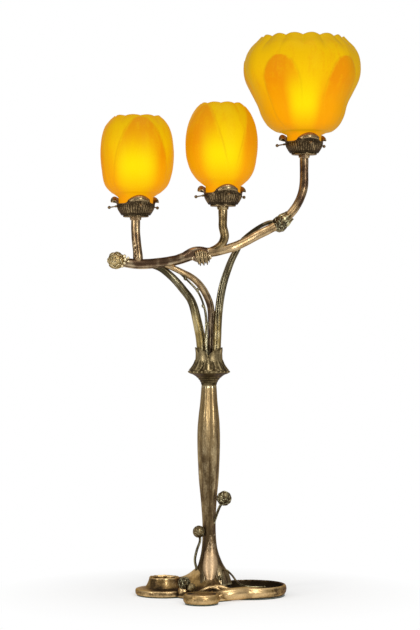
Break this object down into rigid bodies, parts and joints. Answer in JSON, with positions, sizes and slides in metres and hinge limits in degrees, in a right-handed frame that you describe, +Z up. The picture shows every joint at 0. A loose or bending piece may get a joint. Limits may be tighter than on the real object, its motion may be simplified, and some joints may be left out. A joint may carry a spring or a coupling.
{
  "type": "table lamp",
  "caption": "Cast bronze table lamp made like a plant: lily-pad base, ridged column, leaf collar, branching stems and a bowed arm with lit amber glass flower shades.",
  "frame": {"origin": "on the column's axis, at the felt's underside, where the lamp rests on the table", "axes": "+Z up; the front of the lamp faces -Y; the arm runs along X, with the open flower shade at +X"},
  "size_m": [0.367, 0.2305, 0.781],
  "materials": {
    "patinated_bronze": "cast bronze with a brown-green patina, rubbed bright on the high places",
    "dark_bronze": "dark patinated bronze with fine grooves and bright petal tips",
    "polished_bronze": "worn bronze",
    "plain_brass": "plain turned brass",
    "steel_screws": "plated steel",
    "green_felt": "dark green felt",
    "black_rubber": "black rubber",
    "white_porcelain": "white glazed porcelain",
    "lit_bulb_glass": "frosted bulb, lit",
    "amber_glass": "cased amber glass in petals, lit from inside"
  },
  "bodies": {
    "stand": {"felt_pad": "green_felt", "base_root": "patinated_bronze", "base_left_pad": "patinated_bronze", "base_dish": "patinated_bronze", "base_front_pad": "patinated_bronze", "base_bud": "patinated_bronze", "base_tendril": "patinated_bronze", "cover_plate": "plain_brass", "cover_screws": "steel_screws", "cord_bush": "black_rubber", "column": "patinated_bronze", "column_pod": "patinated_bronze", "column_bud": "patinated_bronze", "tie_rod": "plain_brass", "tie_rod_nuts": "plain_brass", "leaf_collar": "patinated_bronze", "collar_plug": "patinated_bronze", "left_branch": "patinated_bronze", "middle_branch": "patinated_bronze", "right_branch": "patinated_bronze", "thin_twig": "patinated_bronze", "main_arm": "patinated_bronze", "arm_end_bud": "patinated_bronze", "middle_knot": "patinated_bronze", "right_knot": "patinated_bronze", "left_stem": "patinated_bronze", "middle_stem": "patinated_bronze", "nipples": "plain_brass", "locknuts": "plain_brass", "lamp_contacts": "plain_brass", "left_holder": "dark_bronze", "middle_holder": "dark_bronze", "right_holder": "dark_bronze", "left_lampholder": "plain_brass", "middle_lampholder": "plain_brass", "right_lampholder": "plain_brass", "left_insulator": "white_porcelain", "middle_insulator": "white_porcelain", "right_insulator": "white_porcelain"},
    "left shade": {"left_shade": "amber_glass"},
    "left bulb": {"left_bulb_cap": "plain_brass", "left_bulb": "lit_bulb_glass"},
    "left thumbscrew 1": {"left_screw_1": "polished_bronze"},
    "left thumbscrew 2": {"left_screw_2": "polished_bronze"},
    "left thumbscrew 3": {"left_screw_3": "polished_bronze"},
    "middle shade": {"middle_shade": "amber_glass"},
    "middle bulb": {"middle_bulb_cap": "plain_brass", "middle_bulb": "lit_bulb_glass"},
    "middle thumbscrew 1": {"middle_screw_1": "polished_bronze"},
    "middle thumbscrew 2": {"middle_screw_2": "polished_bronze"},
    "middle thumbscrew 3": {"middle_screw_3": "polished_bronze"},
    "right shade": {"right_shade": "amber_glass"},
    "right bulb": {"right_bulb_cap": "plain_brass", "right_bulb": "lit_bulb_glass"},
    "right thumbscrew 1": {"right_screw_1": "polished_bronze"},
    "right thumbscrew 2": {"right_screw_2": "polished_bronze"},
    "right thumbscrew 3": {"right_screw_3": "polished_bronze"}
  },
  "joints": [
    {"name": "left shade lift", "type": "slide", "parent": "stand", "child": "left shade", "axis": [0, 0, 1], "range_m": [0, 0.03]},
    {"name": "left bulb unscrew", "type": "slide", "parent": "stand", "child": "left bulb", "axis": [0, 0, 1], "range_m": [0, 0.022]},
    {"name": "left thumbscrew 1 out", "type": "slide", "parent": "stand", "child": "left thumbscrew 1", "axis": [0.2059, -0.9686, -0.1392], "range_m": [0, 0.005]},
    {"name": "left thumbscrew 2 out", "type": "slide", "parent": "stand", "child": "left thumbscrew 2", "axis": [0.7359, 0.6626, -0.1392], "range_m": [0, 0.005]},
    {"name": "left thumbscrew 3 out", "type": "slide", "parent": "stand", "child": "left thumbscrew 3", "axis": [-0.9418, 0.306, -0.1392], "range_m": [0, 0.005]},
    {"name": "middle shade lift", "type": "slide", "parent": "stand", "child": "middle shade", "axis": [0, 0, 1], "range_m": [0, 0.03]},
    {"name": "middle bulb unscrew", "type": "slide", "parent": "stand", "child": "middle bulb", "axis": [0, 0, 1], "range_m": [0, 0.022]},
    {"name": "middle thumbscrew 1 out", "type": "slide", "parent": "stand", "child": "middle thumbscrew 1", "axis": [0.2059, -0.9686, -0.1392], "range_m": [0, 0.005]},
    {"name": "middle thumbscrew 2 out", "type": "slide", "parent": "stand", "child": "middle thumbscrew 2", "axis": [0.7359, 0.6626, -0.1392], "range_m": [0, 0.005]},
    {"name": "middle thumbscrew 3 out", "type": "slide", "parent": "stand", "child": "middle thumbscrew 3", "axis": [-0.9418, 0.306, -0.1392], "range_m": [0, 0.005]},
    {"name": "right shade lift", "type": "slide", "parent": "stand", "child": "right shade", "axis": [0, 0, 1], "range_m": [0, 0.03]},
    {"name": "right bulb unscrew", "type": "slide", "parent": "stand", "child": "right bulb", "axis": [0, 0, 1], "range_m": [0, 0.022]},
    {"name": "right thumbscrew 1 out", "type": "slide", "parent": "stand", "child": "right thumbscrew 1", "axis": [0.2059, -0.9686, -0.1392], "range_m": [0, 0.005]},
    {"name": "right thumbscrew 2 out", "type": "slide", "parent": "stand", "child": "right thumbscrew 2", "axis": [0.7359, 0.6626, -0.1392], "range_m": [0, 0.005]},
    {"name": "right thumbscrew 3 out", "type": "slide", "parent": "stand", "child": "right thumbscrew 3", "axis": [-0.9418, 0.306, -0.1392], "range_m": [0, 0.005]}
  ]
}
